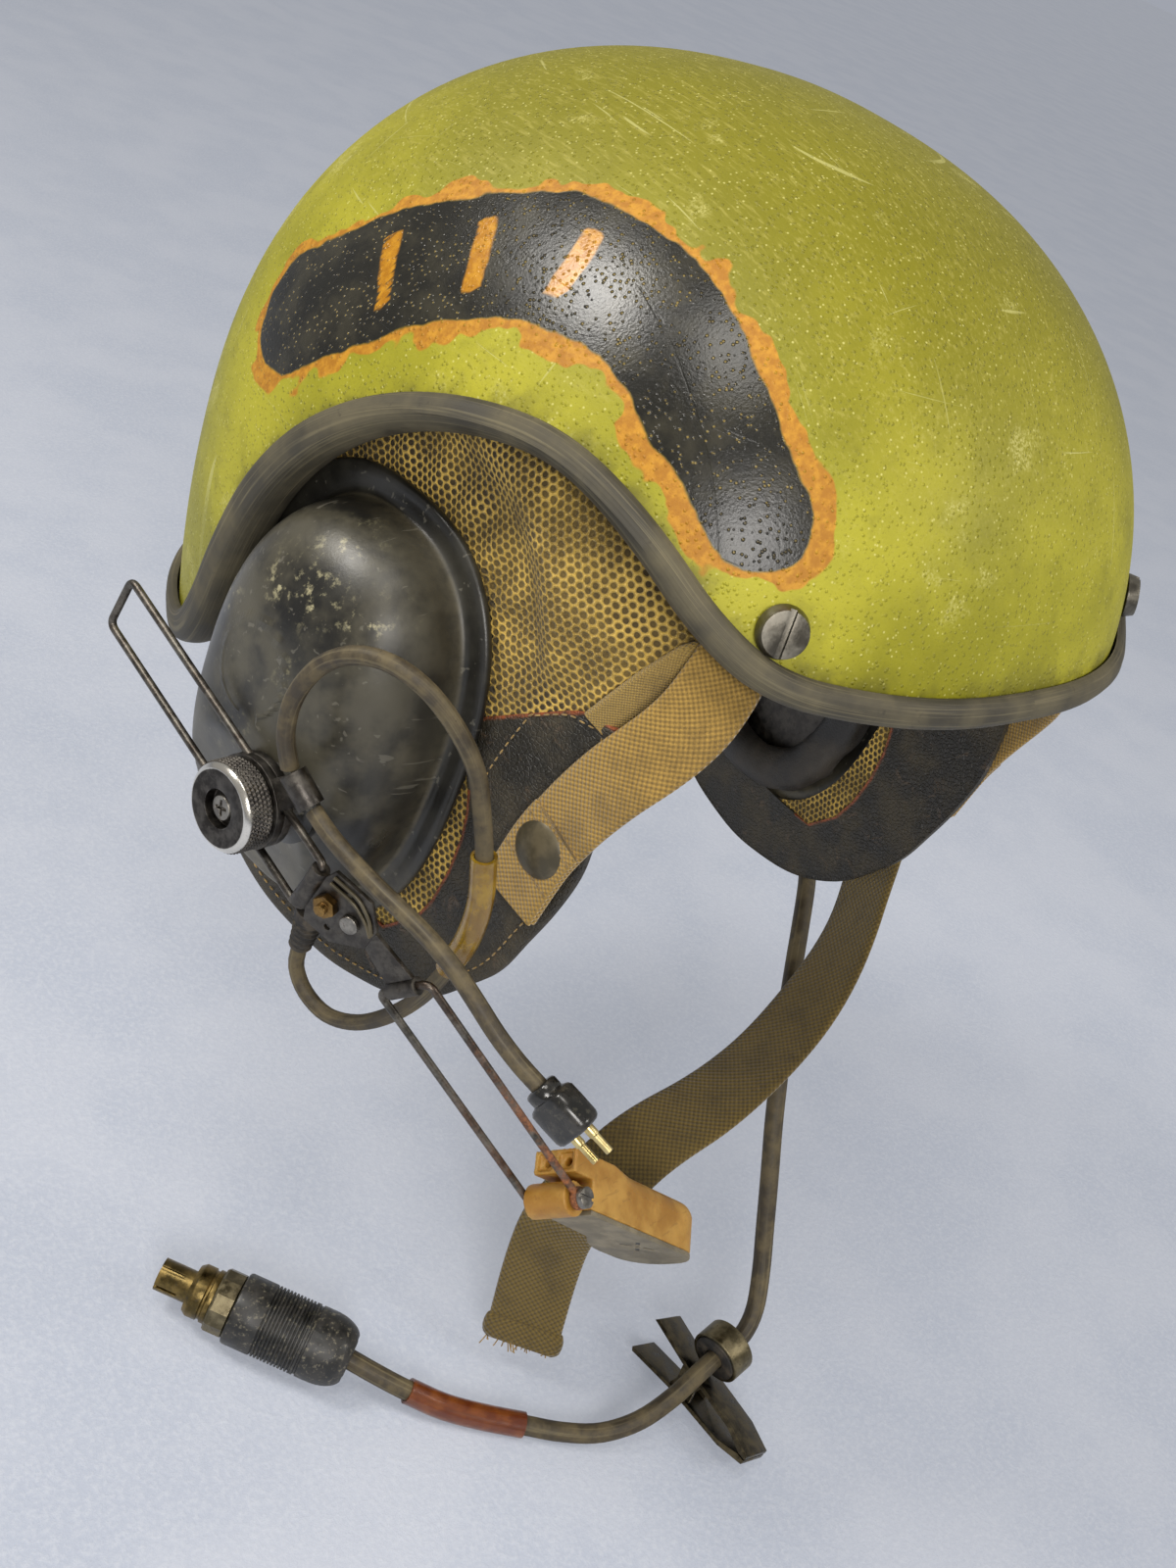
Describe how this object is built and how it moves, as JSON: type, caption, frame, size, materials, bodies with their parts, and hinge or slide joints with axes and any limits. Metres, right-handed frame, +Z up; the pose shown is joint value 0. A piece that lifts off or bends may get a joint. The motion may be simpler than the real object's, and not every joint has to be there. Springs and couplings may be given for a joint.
{
  "type": "tank crew helmet",
  "caption": "Hard-shell vehicle crew helmet with ear cups, mesh liner, straps, a wire boom with a slotted microphone, and a lead with a keyed plug.",
  "frame": {"origin": "centre of the wearer's head inside the shell", "axes": "+Z up to the crown, -Y towards the face, -X towards the wearer's right ear and the boom"},
  "size_m": [0.2836, 0.3024, 0.3935],
  "materials": {
    "shell_paint": "worn satin paint over sand texture",
    "trim_rubber": "matt",
    "steel": "dull and scuffed",
    "mesh": "open knit",
    "webbing": "woven cotton",
    "leather": "worn satin",
    "foam": "soft satin",
    "cup_plastic": "scuffed satin",
    "phone": "satin",
    "lead": "dusty matt",
    "amber": "translucent sleeve",
    "brass": "tarnished",
    "wire": "dark, part rusted",
    "ochre": "worn satin",
    "face": "worn grey"
  },
  "bodies": {
    "helmet": {"shell": "shell_paint", "edge_trim": "trim_rubber", "shell_screws": "steel", "liner_posts": "steel", "liner_cap": "mesh", "liner_binding": "webbing", "brow_pad": "foam", "crown_pad": "foam", "nape_pad": "foam", "ear_surround_right": "leather", "ear_surround_left": "leather", "front_strap_right": "webbing", "front_strap_left": "webbing", "strap_snaps": "steel", "chin_strap": "webbing", "chin_strap_tip": "webbing", "ear_cup_right": "cup_plastic", "ear_cup_left": "cup_plastic", "ear_seal_right": "foam", "ear_seal_left": "foam", "earphone_right": "phone", "earphone_left": "phone", "mic_lead_gland": "trim_rubber", "main_lead_gland": "trim_rubber", "pivot_stud": "steel", "mic_lead_loop": "lead", "mic_lead_sleeve": "amber", "main_lead": "lead", "main_lead_sleeve": "amber", "plug_boot": "cup_plastic", "plug_coupling": "cup_plastic", "plug_nose": "brass", "clip_collar": "brass", "clip_bush": "trim_rubber", "clip_lower_lever": "brass", "clip_pin": "steel"},
    "boom_clamp": {"clamp_base": "steel", "clamp_cover": "steel", "lead_clip": "steel", "mic_lead_run": "lead", "mic_plug": "cup_plastic", "mic_plug_pins": "brass"},
    "thumb_nut": {"thumb_nut": "steel", "thumb_nut_screw": "steel"},
    "boom": {"boom_wire": "wire", "boom_bracket": "steel", "bracket_screw": "brass", "bracket_spring": "wire", "elbow_rivet": "steel"},
    "elbow": {"elbow_plate": "steel"},
    "mic_arm": {"mic_arm_wire": "wire"},
    "microphone": {"mic_case": "ochre", "mic_face": "face", "mic_barrel": "ochre", "mic_screw": "brass"},
    "clip_jaw": {"clip_upper_lever": "brass"}
  },
  "joints": [
    {"name": "boom_swing", "type": "hinge", "parent": "helmet", "child": "boom_clamp", "pos_m": [-0.10493, -0.02291, -0.052], "axis": [-0.9945, -0.1045, 0], "range_deg": [-25, 30], "deforming": ["mic_lead_loop"]},
    {"name": "nut_turn", "type": "hinge", "parent": "helmet", "child": "thumb_nut", "pos_m": [-0.10493, -0.02291, -0.052], "axis": [-0.9945, -0.1045, 0], "range_deg": [0, 270]},
    {"name": "boom_slide", "type": "slide", "parent": "boom_clamp", "child": "boom", "axis": [0.1014, -0.965, -0.2419], "range_m": [-0.006, 0.035]},
    {"name": "arm_tilt", "type": "hinge", "parent": "boom", "child": "elbow", "pos_m": [-0.1269, -0.06373, -0.06155], "axis": [-0.9073, -0.413, -0.0788], "range_deg": [-35, 24]},
    {"name": "arm_fold", "type": "hinge", "parent": "elbow", "child": "mic_arm", "pos_m": [-0.115, -0.07637, -0.07663], "axis": [0.2317, -0.6476, 0.7259], "range_deg": [-24, 10]},
    {"name": "mic_swivel", "type": "hinge", "parent": "mic_arm", "child": "microphone", "pos_m": [-0.07464, -0.11926, -0.12777], "axis": [0.2317, -0.6476, 0.7259], "range_deg": [-30, 24]},
    {"name": "clip_open", "type": "hinge", "parent": "helmet", "child": "clip_jaw", "pos_m": [0.033, -0.14, -0.2502], "axis": [-0.927, 0.0162, 0.3746], "range_deg": [0, 10], "stiffness_Nm_per_rad": 0.05, "springref_deg": -8.59}
  ]
}
